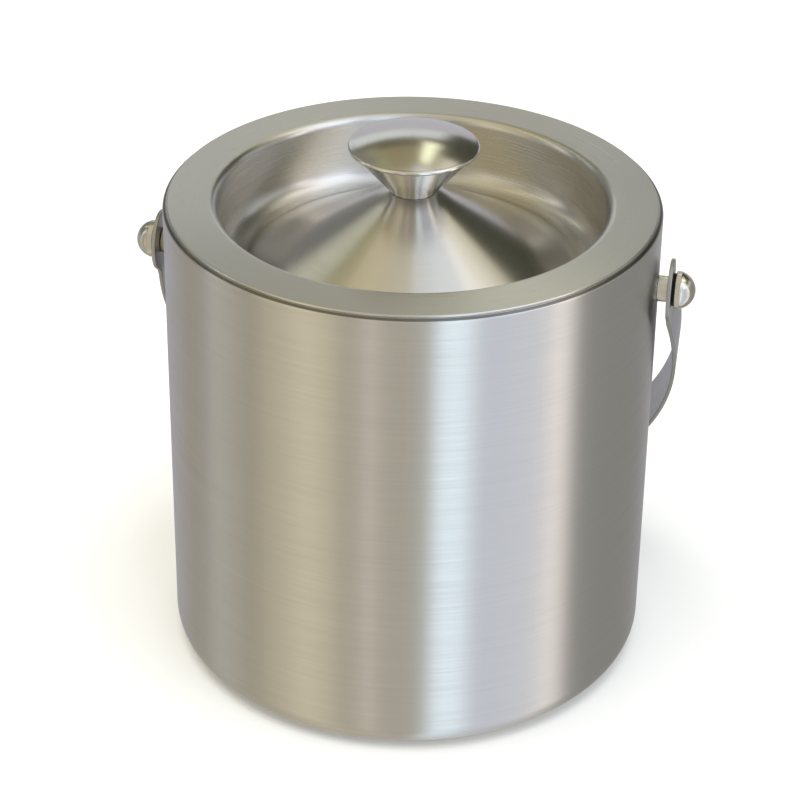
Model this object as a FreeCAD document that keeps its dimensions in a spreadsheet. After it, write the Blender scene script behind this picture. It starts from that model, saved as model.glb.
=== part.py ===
"""Double-walled steel ice bucket with a sunken lift-off lid and a swinging strap bail.

The frame stands on the bucket's base: the origin is the middle of the face it rests on, +Z is up
and +X runs along the bail's pivots.  The bail hangs behind the bucket, on the +Y side.
Every size is in millimetres.
"""
import FreeCAD, Part
import os
import re
import Sketcher

SAME_PLACE = 1e-6

DRIVING = {
    # bucket
    "body_radius": 95.0,
    "rim_height": 190.1,
    "shell_sheet": 0.8,
    "base_corner": 10.7,
    "rim_corner": 1.6,
    "rim_lip_width": 9.4,
    "bead_radius": 70.0,
    "bead_width": 12.0,
    "bead_height": 1.2,
    "bead_slope": 1.5,
    "liner_radius": 75.8,
    "liner_sheet": 0.8,
    "liner_floor": 14.0,
    "liner_corner": 12.0,
    "mouth_corner": 2.0,
    "liner_flange_gap": 0.6,
    # lid
    "lid_sheet": 0.8,
    "seat_gap": 0.1,
    "lid_wall_gap": 0.6,
    "lid_edge_inset": 1.6,
    "lid_edge_round": 0.5,
    "lid_bend": 3.0,
    "recess_depth": 27.5,
    "recess_fillet": 7.5,
    "crown_rise": 3.0,
    "crown_radius": 9.6,
    # knob
    "knob_rim_radius": 24.9,
    "knob_rim_round": 0.9,
    "knob_neck_radius": 8.8,
    "knob_neck_round": 0.4,
    "knob_flank_height": 17.7,
    "knob_skirt": 1.4,
    "knob_lap": 0.47,
    "knob_dome_rise": 3.85,
    "knob_sheet": 0.6,
    "knob_wall": 1.12,
    "knob_fit": 0.1,
    "insert_radius": 6.6,
    "insert_height": 8.7,
    "insert_cover": 1.0,
    "screw_radius": 2.0,
    "screw_fit": 0.05,
    "screw_hole_radius": 2.2,
    "screw_head_radius": 4.0,
    "screw_head_height": 2.8,
    "screw_reach": 7.2,
    "knob_washer_radius": 5.0,
    "knob_washer_sheet": 1.0,
    # pivots
    "pivot_drop": 28.6,
    "spacer_radius": 5.0,
    "spacer_length": 4.0,
    "bolt_radius": 2.5,
    "bolt_fit": 0.1,
    "thread_fit": 0.05,
    "bolt_head_flats": 8.0,
    "bolt_head_height": 3.5,
    "bolt_engagement": 4.2,
    "lock_washer_radius": 4.6,
    "lock_washer_sheet": 1.2,
    "plate_width": 22.0,
    "plate_sheet": 1.2,
    "plate_gap": 0.05,
    "side_clearance": 0.1,
    "strap_washer_radius": 6.3,
    "strap_washer_sheet": 1.0,
    "nut_radius": 7.25,
    "nut_barrel": 2.0,
    "nut_dome": 5.6,
    "nut_edge": 0.4,
    "nut_spare_depth": 0.2,
    # bail
    "strap_sheet": 1.5,
    "strap_width": 20.5,
    "eye_radius": 11.8,
    "eye_flat": 6.8,
    "arch_bow": 2.35,
    "arch_bend_radius": 40.0,
    "hang_angle": 35.0,
    "stop_clearance": 0.6,
}

DERIVED = {
    "past_both_walls": "3 * Sizes.body_radius",
    "shell_bore": "Sizes.body_radius - Sizes.shell_sheet",
    "corner_start": "Sizes.body_radius - Sizes.base_corner",
    "rim_start": "Sizes.body_radius - Sizes.rim_corner",
    "lip_inner": "rim_start - Sizes.rim_lip_width",
    "lip_under": "Sizes.rim_height - Sizes.shell_sheet",
    "liner_outside": "Sizes.liner_radius + Sizes.liner_sheet",
    "liner_flange": "shell_bore - Sizes.rim_corner - Sizes.liner_flange_gap",
    "flange_top": "Sizes.rim_height + Sizes.seat_gap + Sizes.lid_sheet",
    "flange_under": "Sizes.rim_height + Sizes.seat_gap",
    "lid_radius": "Sizes.body_radius - Sizes.lid_edge_inset",
    "recess_outside": "Sizes.liner_radius - Sizes.lid_wall_gap",
    "recess_radius": "recess_outside - Sizes.lid_sheet",
    "recess_floor": "flange_top - Sizes.recess_depth",
    "fillet_r": "recess_radius - Sizes.recess_fillet",
    "fillet_z": "recess_floor + Sizes.recess_fillet",
    "knob_base": "flange_top + Sizes.crown_rise",
    "cone_run": "fillet_r - Sizes.crown_radius",
    "cone_drop": "knob_base - fillet_z",
    "cone_reach": "sqrt(cone_run ^ 2 + cone_drop ^ 2)",
    "cone_angle": "atan(cone_drop / cone_run) + asin(Sizes.recess_fillet / cone_reach)",
    "crown_under": "knob_base - Sizes.lid_sheet",
    "knob_rim_base": "knob_base + Sizes.knob_flank_height",
    "knob_cone_top": "knob_rim_base + Sizes.knob_lap",
    "knob_cone_radius": "Sizes.knob_rim_radius - Sizes.knob_sheet - Sizes.knob_fit",
    "pivot_height": "flange_top - Sizes.pivot_drop",
    "spacer_end": "Sizes.body_radius + Sizes.spacer_length",
    "strap_inner": "spacer_end + Sizes.side_clearance",
    "strap_middle": "strap_inner + Sizes.strap_sheet / 2",
    "strap_outer": "strap_inner + Sizes.strap_sheet",
    "washer_start": "strap_outer + Sizes.side_clearance",
    "nut_start": "washer_start + Sizes.strap_washer_sheet",
    "plate_outer": "shell_bore - Sizes.plate_gap",
    "plate_inner": "plate_outer - Sizes.plate_sheet",
    "bolt_seat": "sqrt(plate_inner ^ 2 - Sizes.lock_washer_radius ^ 2) - Sizes.lock_washer_sheet",
    "edge_sweep": "Sizes.strap_width / 2 * cos(Sizes.hang_angle * 1deg)",
    "bail_reach": "(Sizes.body_radius + Sizes.stop_clearance + edge_sweep) / sin(Sizes.hang_angle * 1deg)",
    "arch_half_width": "strap_middle + Sizes.arch_bow",
    "arch_side_radius": "2 * arch_half_width",
    "arch_reverse": "arch_side_radius + Sizes.arch_bend_radius",
    "arch_widest": "Sizes.eye_flat + sqrt(arch_reverse ^ 2 - (arch_reverse - Sizes.arch_bow) ^ 2)",
    "arch_climb": "bail_reach - arch_widest",
    "arch_crown_radius": "(arch_side_radius ^ 2 - (arch_side_radius - arch_half_width) ^ 2 - arch_climb ^ 2)"
                         " / (2 * (arch_side_radius - arch_climb))",
    "arch_crown_centre": "bail_reach - arch_crown_radius",
}


def fill_sheets(doc):
    """Write the driving sizes, then what follows from them, one aliased cell each."""
    sizes = doc.addObject("Spreadsheet::Sheet", "Sizes")
    for row, (alias, value) in enumerate(DRIVING.items(), start=1):
        sizes.set(f"A{row}", alias.replace("_", " "))
        sizes.set(f"B{row}", str(value))
        sizes.setAlias(f"B{row}", alias)
    derived = doc.addObject("Spreadsheet::Sheet", "Derived")
    for row, (alias, formula) in enumerate(DERIVED.items(), start=1):
        derived.set(f"A{row}", alias.replace("_", " "))
        derived.set(f"B{row}", "=" + formula)
        derived.setAlias(f"B{row}", alias)
    doc.recompute()


def expand(text):
    """Turn short size names into full references to the two sheets."""
    def full_name(match):
        name = match.group(0)
        if name in DRIVING:
            return "Sizes." + name
        return "Derived." + name if name in DERIVED else name

    return re.sub(r"(?<![.\w])[a-z]\w*", full_name, text)


class Builder:
    """Makes the document's bodies from outlines whose every size is an expression."""

    def __init__(self, doc):
        self.doc = doc
        self.sheet = doc.getObject("Sizes")

    def value(self, text):
        """Evaluate an expression over the sheets as a plain number."""
        result = self.sheet.evalExpression(expand(text))
        return float(getattr(result, "Value", result))

    def body(self, label):
        """Start a body named after its piece."""
        body = self.doc.addObject("PartDesign::Body", label)
        body.Label = label
        return body

    def plane(self, body, role):
        """Find one of the body's own origin planes."""
        return next(item for item in body.Origin.OriginFeatures if item.Role == role)

    def sketch(self, body, role, name, offset=None):
        """Attach an empty sketch to one of the body's origin planes, lifted by an expression."""
        sketch = body.newObject("Sketcher::SketchObject", f"{body.Name}_{name}")
        sketch.AttachmentSupport = [(self.plane(body, role), "")]
        sketch.MapMode = "FlatFace"
        if offset is not None:
            sketch.setExpression("AttachmentOffset.Base.z", expand(offset))
        return sketch

    def bind(self, sketch, constraint, text):
        """Add a dimension and tie it to its expression."""
        index = sketch.addConstraint(constraint)
        sketch.setExpression(f"Constraints[{index}]", expand(text))

    def pin(self, sketch, geometry, end, across, along):
        """Fix one end of an edge by its two distances from the sketch's origin."""
        for kind, text, axis in (("DistanceX", across, -2), ("DistanceY", along, -1)):
            distance = self.value(text)
            if abs(distance) < SAME_PLACE:
                sketch.addConstraint(Sketcher.Constraint("PointOnObject", geometry, end, axis))
            elif distance > 0:
                self.bind(sketch, Sketcher.Constraint(kind, -1, 1, geometry, end, distance), text)
            else:
                flipped = Sketcher.Constraint(kind, geometry, end, -1, 1, -distance)
                self.bind(sketch, flipped, f"-( {text} )")

    def outline(self, sketch, corners):
        """Draw a closed outline.

        Each corner is (across, along) or (across, along, radius, side): the last two make the
        edge that leaves the corner an arc, which bulges to the left (+1) or the right (-1).
        """
        points = [(self.value(corner[0]), self.value(corner[1])) for corner in corners]
        for index, corner in enumerate(corners):
            start = FreeCAD.Vector(*points[index], 0)
            end = FreeCAD.Vector(*points[(index + 1) % len(points)], 0)
            if len(corner) == 2:
                sketch.addGeometry(Part.LineSegment(start, end), False)
                continue
            radius = self.value(corner[2])
            chord = end - start
            left = FreeCAD.Vector(-chord.y, chord.x, 0).normalize()
            sagitta = radius - (radius ** 2 - (chord.Length / 2) ** 2) ** 0.5
            middle = start + chord * 0.5 + left * (sagitta * corner[3])
            sketch.addGeometry(Part.Arc(start, middle, end), False)
        self.close(sketch, corners)

    def close(self, sketch, corners):
        """Join an outline's edges end to end and tie each corner and radius to its size."""
        count = len(corners)
        ends = [self.ends(sketch, index, self.value(corner[0]), self.value(corner[1]))
                for index, corner in enumerate(corners)]
        for index, corner in enumerate(corners):
            following = (index + 1) % count
            sketch.addConstraint(Sketcher.Constraint(
                "Coincident", index, ends[index][1], following, ends[following][0]))
            self.pin(sketch, index, ends[index][0], corner[0], corner[1])
            if len(corner) > 2:
                radius = Sketcher.Constraint("Radius", index, self.value(corner[2]))
                self.bind(sketch, radius, corner[2])

    def ends(self, sketch, index, across, along):
        """Say which end of an edge is its start, since an arc may be stored back to front."""
        start = sketch.getPoint(index, 1)
        forward = abs(start.x - across) < SAME_PLACE and abs(start.y - along) < SAME_PLACE
        return (1, 2) if forward else (2, 1)

    def circle(self, sketch, radius, across="0", along="0"):
        """Draw one circle, centred where its two expressions say."""
        centre = FreeCAD.Vector(self.value(across), self.value(along), 0)
        shape = Part.Circle(centre, FreeCAD.Vector(0, 0, 1), self.value(radius))
        index = sketch.addGeometry(shape, False)
        self.pin(sketch, index, 3, across, along)
        self.bind(sketch, Sketcher.Constraint("Radius", index, self.value(radius)), radius)

    def revolve(self, body, corners, name="profile"):
        """Turn a half section about the body's own Z axis."""
        sketch = self.sketch(body, "XZ_Plane", name)
        self.outline(sketch, corners)
        turned = body.newObject("PartDesign::Revolution", f"{body.Name}_{name}_turn")
        turned.Profile = sketch
        turned.ReferenceAxis = (sketch, ["V_Axis"])
        turned.Angle = 360
        self.doc.recompute()
        return turned

    def pad(self, body, sketch, length, midplane=False):
        """Raise a sketch by an expression's length."""
        pad = body.newObject("PartDesign::Pad", f"{sketch.Name}_pad")
        pad.Profile = sketch
        pad.Midplane = midplane
        pad.setExpression("Length", expand(length))
        self.doc.recompute()
        return pad

    def pocket(self, body, sketch, length, midplane=False, reverse=False):
        """Cut a sketch into the body and make sure that it took material away."""
        before = body.Shape.Volume
        pocket = body.newObject("PartDesign::Pocket", f"{sketch.Name}_cut")
        pocket.Profile = sketch
        pocket.Midplane = midplane
        pocket.Reversed = reverse
        pocket.setExpression("Length", expand(length))
        self.doc.recompute()
        if body.Shape.Volume >= before:
            raise RuntimeError(f"{pocket.Name} removed nothing")
        return pocket

    def mirror(self, body, features):
        """Repeat features on the other side of the body's YZ plane."""
        mirrored = body.newObject("PartDesign::Mirrored", f"{features[0].Name}_mirrored")
        mirrored.Originals = features
        mirrored.MirrorPlane = (self.plane(body, "YZ_Plane"), [""])
        body.Tip = mirrored
        self.doc.recompute()
        return mirrored

    def face_outward(self, body, side):
        """Stand a pivot piece on the pivot axis, its own +Z pointing away from the bucket."""
        turn = FreeCAD.Rotation(FreeCAD.Vector(0, 1, 0), 90 * side)
        body.Placement = FreeCAD.Placement(FreeCAD.Vector(0, 0, 0), turn)
        body.setExpression("Placement.Base.z", "Derived.pivot_height")


def outer_shell(make):
    """Drawn outer cup with a pressed ring in its base and its top edge turned inward."""
    body = make.body("outer_shell")
    bead_in = "bead_radius - bead_width / 2"
    bead_out = "bead_radius + bead_width / 2"
    make.revolve(body, [
        ("0", "0"),
        (bead_in, "0"),
        (f"{bead_in} + bead_slope", "bead_height"),
        (f"{bead_out} - bead_slope", "bead_height"),
        (bead_out, "0"),
        ("corner_start", "0", "base_corner", -1),
        ("body_radius", "base_corner"),
        ("body_radius", "rim_height - rim_corner", "rim_corner", -1),
        ("rim_start", "rim_height"),
        ("lip_inner", "rim_height"),
        ("lip_inner", "lip_under"),
        ("rim_start", "lip_under", "rim_corner - shell_sheet", 1),
        ("shell_bore", "rim_height - rim_corner"),
        ("shell_bore", "base_corner", "base_corner - shell_sheet", 1),
        ("corner_start", "shell_sheet"),
        (bead_out, "shell_sheet"),
        (f"{bead_out} - bead_slope", "bead_height + shell_sheet"),
        (f"{bead_in} + bead_slope", "bead_height + shell_sheet"),
        (bead_in, "shell_sheet"),
        ("0", "shell_sheet"),
    ])
    holes = make.sketch(body, "YZ_Plane", "pivot_holes")
    make.circle(holes, "bolt_radius + bolt_fit", "0", "pivot_height")
    make.pocket(body, holes, "past_both_walls", midplane=True)
    return body


def inner_liner(make):
    """Drawn inner cup whose flange is joined under the shell's turned lip."""
    body = make.body("inner_liner")
    make.revolve(body, [
        ("0", "liner_floor - liner_sheet"),
        ("liner_radius - liner_corner", "liner_floor - liner_sheet", "liner_corner + liner_sheet", -1),
        ("liner_outside", "liner_floor + liner_corner"),
        ("liner_outside", "lip_under - mouth_corner", "mouth_corner - liner_sheet", 1),
        ("liner_radius + mouth_corner", "lip_under - liner_sheet"),
        ("liner_flange", "lip_under - liner_sheet"),
        ("liner_flange", "lip_under"),
        ("liner_radius + mouth_corner", "lip_under", "mouth_corner", -1),
        ("liner_radius", "lip_under - mouth_corner"),
        ("liner_radius", "liner_floor + liner_corner", "liner_corner", 1),
        ("liner_radius - liner_corner", "liner_floor"),
        ("0", "liner_floor"),
    ])
    return body


def pivot_bolt(make, side, name):
    """Hexagon bolt whose head sits between the walls and whose shank carries the bail."""
    body = make.body(f"{name}_pivot_bolt")
    head = make.sketch(body, "XY_Plane", "head", offset="bolt_seat - bolt_head_height")
    corner = "bolt_head_flats / sqrt(3)"
    half = "bolt_head_flats / 2"
    make.outline(head, [
        (corner, "0"),
        (f"{corner} / 2", half),
        (f"-{corner} / 2", half),
        (f"-{corner}", "0"),
        (f"-{corner} / 2", f"-{half}"),
        (f"{corner} / 2", f"-{half}"),
    ])
    make.pad(body, head, "bolt_head_height")
    shank = make.sketch(body, "XY_Plane", "shank", offset="bolt_seat")
    make.circle(shank, "bolt_radius")
    make.pad(body, shank, "nut_start + bolt_engagement - bolt_seat")
    make.face_outward(body, side)
    return body


def ring(make, label, inner, outer, start, length, side):
    """Flat ring on the pivot axis, such as a washer."""
    body = make.body(label)
    face = make.sketch(body, "XY_Plane", "face", offset=start)
    make.circle(face, inner)
    make.circle(face, outer)
    make.pad(body, face, length)
    make.face_outward(body, side)
    return body


def backing_plate(make, side, name):
    """Curved plate that spreads the bolt's pull over the inside of the shell."""
    body = make.body(f"{name}_backing_plate")
    half = "plate_width / 2"
    section = make.sketch(body, "YZ_Plane", "section")
    outer_rise = "sqrt( plate_outer ^ 2 - ( plate_width / 2 ) ^ 2 )"
    inner_rise = "sqrt( plate_inner ^ 2 - ( plate_width / 2 ) ^ 2 )"
    make.outline(section, [
        (half, inner_rise),
        (half, outer_rise, "plate_outer", -1),
        (f"-{half}", outer_rise),
        (f"-{half}", inner_rise, "plate_inner", 1),
    ])
    make.pad(body, section, "plate_width", midplane=True)
    hole = make.sketch(body, "XY_Plane", "hole")
    make.circle(hole, "bolt_radius + bolt_fit")
    make.pocket(body, hole, "body_radius", reverse=True)
    make.face_outward(body, side)
    return body


def pivot_spacer(make, side, name):
    """Turned collar whose inner end is hollowed to sit on the round shell."""
    body = ring(make, f"{name}_pivot_spacer", "bolt_radius + bolt_fit", "spacer_radius",
                "body_radius - spacer_length", "2 * spacer_length", side)
    saddle = make.sketch(body, "YZ_Plane", "saddle")
    make.circle(saddle, "body_radius")
    make.pocket(body, saddle, "past_both_walls", midplane=True)
    return body


def dome_nut(make, side, name):
    """Polished blind nut with a round dome, screwed onto the end of the bolt."""
    body = make.body(f"{name}_dome_nut")
    barrel = "nut_start + nut_barrel"
    bore = "bolt_radius + thread_fit"
    depth = "nut_start + bolt_engagement + nut_spare_depth"
    dome = "( nut_radius ^ 2 + nut_dome ^ 2 ) / ( 2 * nut_dome )"
    make.revolve(body, [
        (bore, "nut_start"),
        ("nut_radius - nut_edge", "nut_start"),
        ("nut_radius", "nut_start + nut_edge"),
        ("nut_radius", barrel, dome, -1),
        ("0", f"{barrel} + nut_dome"),
        ("0", depth),
        (bore, depth),
    ])
    make.face_outward(body, side)
    return body


def lid_skin(make):
    """Pressed lid: flat flange, straight recess wall, rounded foot and a cone up to the knob."""
    body = make.body("lid_skin")
    bend_under = "lid_bend - lid_sheet"
    foot_under = "recess_fillet + lid_sheet"
    crown_under_radius = "crown_radius - lid_sheet * tan( cone_angle / 2 )"
    make.revolve(body, [
        ("screw_hole_radius", "knob_base"),
        ("screw_hole_radius", "crown_under"),
        (crown_under_radius, "crown_under"),
        (f"fillet_r - ( {foot_under} ) * sin( cone_angle )",
         f"fillet_z - ( {foot_under} ) * cos( cone_angle )", foot_under, -1),
        ("recess_outside", "fillet_z"),
        ("recess_outside", "flange_top - lid_bend", bend_under, 1),
        ("recess_radius + lid_bend", "flange_under"),
        ("lid_radius", "flange_under"),
        ("lid_radius", "flange_top - lid_edge_round", "lid_edge_round", -1),
        ("lid_radius - lid_edge_round", "flange_top"),
        ("recess_radius + lid_bend", "flange_top", "lid_bend", -1),
        ("recess_radius", "flange_top - lid_bend"),
        ("recess_radius", "fillet_z", "recess_fillet", 1),
        ("fillet_r - recess_fillet * sin( cone_angle )", "fillet_z - recess_fillet * cos( cone_angle )"),
        ("crown_radius", "knob_base"),
    ])
    return body


def knob_cone(make):
    """Hollow flared knob body that stands on the lid's crown."""
    body = make.body("knob_cone")
    make.revolve(body, [
        ("screw_hole_radius", "knob_base"),
        ("knob_neck_radius - knob_neck_round", "knob_base", "knob_neck_round", -1),
        ("knob_neck_radius", "knob_base + knob_neck_round"),
        ("knob_cone_radius", "knob_cone_top"),
        ("knob_cone_radius - knob_wall", "knob_cone_top"),
        ("knob_neck_radius - knob_wall", "knob_base + knob_sheet"),
        ("screw_hole_radius", "knob_base + knob_sheet"),
    ])
    return body


def knob_cap(make):
    """Shallow domed cap whose skirt is closed over the cone's rim."""
    body = make.body("knob_cap")
    edge = "knob_rim_radius - knob_rim_round"
    shoulder = "knob_rim_base + knob_skirt"
    dome = f"( ( {edge} ) ^ 2 + knob_dome_rise ^ 2 ) / ( 2 * knob_dome_rise )"
    inner_edge = "knob_rim_radius - knob_sheet"
    make.revolve(body, [
        (inner_edge, "knob_rim_base"),
        ("knob_rim_radius", "knob_rim_base"),
        ("knob_rim_radius", f"{shoulder} - knob_rim_round", "knob_rim_round", -1),
        (edge, shoulder, dome, -1),
        ("0", f"{shoulder} + knob_dome_rise"),
        ("0", f"{shoulder} + knob_dome_rise - knob_sheet"),
        (inner_edge, f"{shoulder} - knob_sheet"),
    ])
    return body


def knob_insert(make):
    """Threaded plug inside the knob's neck that takes the knob screw."""
    body = make.body("knob_insert")
    floor = "knob_base + knob_sheet"
    bore = "screw_radius + screw_fit"
    make.revolve(body, [
        (bore, floor),
        ("insert_radius", floor),
        ("insert_radius", f"{floor} + insert_height"),
        ("0", f"{floor} + insert_height"),
        ("0", f"{floor} + insert_height - insert_cover"),
        (bore, f"{floor} + insert_height - insert_cover"),
    ])
    return body


def knob_screw(make):
    """Pan-head screw that holds the knob from under the lid."""
    body = make.body("knob_screw")
    seat = "crown_under - knob_washer_sheet"
    make.revolve(body, [
        ("0", f"{seat} - screw_head_height"),
        ("screw_head_radius", f"{seat} - screw_head_height"),
        ("screw_head_radius", seat),
        ("screw_radius", seat),
        ("screw_radius", "knob_base + knob_sheet + screw_reach"),
        ("0", "knob_base + knob_sheet + screw_reach"),
    ])
    return body


def knob_washer(make):
    """Washer between the screw's head and the lid."""
    body = make.body("knob_washer")
    make.revolve(body, [
        ("screw_hole_radius", "crown_under - knob_washer_sheet"),
        ("knob_washer_radius", "crown_under - knob_washer_sheet"),
        ("knob_washer_radius", "crown_under"),
        ("screw_hole_radius", "crown_under"),
    ])
    return body


def arch_line(make, body):
    """Draw the middle line of the bent strap: flat eyes, bowed sides and a rounded crown.

    Across is the pivot direction and along is the way from the pivots to the crown.
    """
    eye = make.value("strap_middle")
    bend = make.value("arch_bend_radius")
    side = make.value("arch_side_radius")
    crown = make.value("arch_crown_radius")
    reach = make.value("bail_reach")
    side_centre = FreeCAD.Vector(make.value("arch_half_width") - side, make.value("arch_widest"), 0)
    crown_centre = FreeCAD.Vector(0, make.value("arch_crown_centre"), 0)
    bend_centre = FreeCAD.Vector(eye + bend, make.value("eye_flat"), 0)

    def flip(point):
        return FreeCAD.Vector(-point.x, point.y, 0)

    def arc(centre, radius, start, end):
        middle = centre + (start + end - centre * 2).normalize() * radius
        return Part.Arc(start, middle, end)

    start = FreeCAD.Vector(eye, 0, 0)
    flat_end = FreeCAD.Vector(eye, bend_centre.y, 0)
    bend_end = side_centre + (bend_centre - side_centre).normalize() * side
    join = side_centre + (crown_centre - side_centre).normalize() * side
    edges = [
        Part.LineSegment(start, flat_end),
        arc(bend_centre, bend, flat_end, bend_end),
        arc(side_centre, side, bend_end, join),
        Part.Arc(join, FreeCAD.Vector(0, reach, 0), flip(join)),
        arc(flip(side_centre), side, flip(join), flip(bend_end)),
        arc(flip(bend_centre), bend, flip(bend_end), flip(flat_end)),
        Part.LineSegment(flip(flat_end), flip(start)),
    ]
    sketch = make.sketch(body, "XY_Plane", "arch_line")
    sketch.addGeometry(edges, False)
    starts = [start, flat_end, bend_end, join, flip(join), flip(bend_end), flip(flat_end)]
    ends = [make.ends(sketch, index, point.x, point.y) for index, point in enumerate(starts)]
    last = len(edges) - 1
    for index in range(last):
        sketch.addConstraint(Sketcher.Constraint(
            "Tangent", index, ends[index][1], index + 1, ends[index + 1][0]))
    for index in (0, last):
        sketch.addConstraint(Sketcher.Constraint("Vertical", index))
    make.pin(sketch, 0, 1, "strap_middle", "0")
    make.pin(sketch, last, 2, "-strap_middle", "0")
    make.pin(sketch, 3, 3, "0", "arch_crown_centre")
    make.bind(sketch, Sketcher.Constraint("Radius", 3, crown), "arch_crown_radius")
    for index in (2, 4):
        make.bind(sketch, Sketcher.Constraint("Radius", index, side), "arch_side_radius")
        height = Sketcher.Constraint("DistanceY", -1, 1, index, 3, side_centre.y)
        make.bind(sketch, height, "arch_widest")
    for index in (1, 5):
        make.bind(sketch, Sketcher.Constraint("Radius", index, bend), "arch_bend_radius")
    return sketch, [f"Edge{index + 1}" for index in range(len(edges))]


def bail_strap(make):
    """Flat strap bent into an arch, with a round eye at each end that turns on the bolt."""
    body = make.body("bail_strap")
    spine, spine_edges = arch_line(make, body)
    section = make.sketch(body, "XZ_Plane", "section")
    half = "strap_width / 2"
    make.outline(section, [
        ("strap_inner", f"-{half}"),
        ("strap_outer", f"-{half}"),
        ("strap_outer", half),
        ("strap_inner", half),
    ])
    make.doc.recompute()
    strap = body.newObject("PartDesign::AdditivePipe", "bail_strap_sweep")
    strap.Profile = section
    strap.Spine = (spine, spine_edges)
    make.doc.recompute()
    eye = make.sketch(body, "YZ_Plane", "eye", offset="strap_inner")
    make.circle(eye, "eye_radius")
    disc = make.pad(body, eye, "strap_sheet")
    make.mirror(body, [disc])
    holes = make.sketch(body, "YZ_Plane", "eye_holes")
    make.circle(holes, "bolt_radius + bolt_fit")
    make.pocket(body, holes, "past_both_walls", midplane=True)
    lean = 90 - make.value("hang_angle")
    body.Placement = FreeCAD.Placement(
        FreeCAD.Vector(0, 0, 0), FreeCAD.Rotation(FreeCAD.Vector(-1, 0, 0), lean))
    body.setExpression("Placement.Base.z", "Derived.pivot_height")
    return body


def pivot(make, side, name):
    """Everything that carries one end of the bail, from inside the wall outward."""
    hole = "bolt_radius + bolt_fit"
    return [
        pivot_bolt(make, side, name),
        ring(make, f"{name}_lock_washer", hole, "lock_washer_radius", "bolt_seat", "lock_washer_sheet", side),
        backing_plate(make, side, name),
        pivot_spacer(make, side, name),
        ring(make, f"{name}_strap_washer", hole, "strap_washer_radius", "washer_start",
             "strap_washer_sheet", side),
        dome_nut(make, side, name),
    ]


def check(doc, pieces):
    """Stop if any object failed to build or any piece is not one sound solid."""
    for item in doc.Objects:
        if "Invalid" in item.State or "Error" in item.State:
            raise RuntimeError(f"{item.Name} failed: {item.State}")
    for piece in pieces:
        shape = piece.Shape
        if shape.isNull() or not shape.isValid() or len(shape.Solids) != 1:
            raise RuntimeError(f"{piece.Label} is not one valid solid")


def main():
    """Build every piece, check it and write it out."""
    doc = FreeCAD.newDocument("ice_bucket")
    fill_sheets(doc)
    make = Builder(doc)
    pieces = [outer_shell(make), inner_liner(make)]
    pieces += pivot(make, 1, "right")
    pieces += pivot(make, -1, "left")
    pieces += [lid_skin(make), knob_cone(make), knob_cap(make), knob_insert(make),
               knob_screw(make), knob_washer(make), bail_strap(make)]
    doc.recompute()
    check(doc, pieces)
    os.makedirs("parts", exist_ok=True)
    for piece in pieces:
        piece.Shape.exportStep(f"parts/{piece.Label}.step")
        box = piece.Shape.BoundBox
        print(f"{piece.Label:20s} {piece.Shape.Volume:12.1f} mm3  x {box.XMin:8.2f} {box.XMax:8.2f}"
              f"  y {box.YMin:8.2f} {box.YMax:8.2f}  z {box.ZMin:8.2f} {box.ZMax:8.2f}")


main()
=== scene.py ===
"""Looks of a double-walled steel ice bucket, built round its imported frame.

Every length in the classes of the object is in millimetres, and the studio's are in metres. Every
mesh is made in metres in the frame's own axes: the origin is the middle of the base, +Z is up and
+X runs along the bail's pivots.
"""
import logging
import math
from dataclasses import dataclass, field
from enum import Enum
from typing import Optional, Union

import bmesh
import bpy
from mathutils import Matrix, Vector


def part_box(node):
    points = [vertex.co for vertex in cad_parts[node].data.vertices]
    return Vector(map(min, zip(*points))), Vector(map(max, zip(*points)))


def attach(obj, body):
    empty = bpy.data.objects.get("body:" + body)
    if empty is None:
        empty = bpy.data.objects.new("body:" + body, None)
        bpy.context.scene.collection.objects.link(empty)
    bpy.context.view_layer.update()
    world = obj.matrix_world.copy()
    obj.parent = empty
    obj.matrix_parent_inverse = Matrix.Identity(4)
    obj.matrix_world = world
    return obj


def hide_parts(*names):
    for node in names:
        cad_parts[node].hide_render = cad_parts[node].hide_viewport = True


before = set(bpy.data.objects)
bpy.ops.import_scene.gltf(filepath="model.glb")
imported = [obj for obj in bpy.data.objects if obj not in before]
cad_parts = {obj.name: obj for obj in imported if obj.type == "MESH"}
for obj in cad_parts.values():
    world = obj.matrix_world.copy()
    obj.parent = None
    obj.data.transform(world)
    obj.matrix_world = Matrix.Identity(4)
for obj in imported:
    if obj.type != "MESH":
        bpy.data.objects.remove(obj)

LOG = logging.getLogger("ice_bucket")
MM = 0.001
MERGE = 1e-7
CREASE_DEGREES = 38
# a noise texture's output lies mostly between these two values
NOISE_LOW, NOISE_HIGH = 0.3, 0.7
# a quarter turn stretches the highlights across the scratches
ACROSS_SCRATCHES = 0.25
# how dark the painted shadow in a seam is, and the darkest patch of a small part
SEAM_SHADOW_DARKNESS = 0.3
PATCH_SHADE = 0.93

Setting = Union[float, int, str, tuple, bpy.types.NodeSocket]


class Body(Enum):
    """The three bodies that the bucket's joints move."""

    BUCKET = "bucket"
    BAIL = "bail"
    LID = "lid"


class Side(Enum):
    """The two ends of the pivot axis."""

    RIGHT = 1
    LEFT = -1

    @property
    def label(self) -> str:
        """Give the side's name as the nodes spell it."""
        return self.name.lower()


def linear(colour: str) -> tuple[float, float, float, float]:
    """Turn an sRGB hex colour into linear light.

    Args:
        colour: six hex digits after a hash, such as "#c8c4bc".

    Returns:
        Red, green, blue and an alpha of one.
    """
    # the constants are those of the sRGB curve
    channels = [int(colour[start:start + 2], 16) / 255 for start in (1, 3, 5)]
    light = [c / 12.92 if c <= 0.04045 else ((c + 0.055) / 1.055) ** 2.4 for c in channels]
    return light[0], light[1], light[2], 1.0


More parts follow.
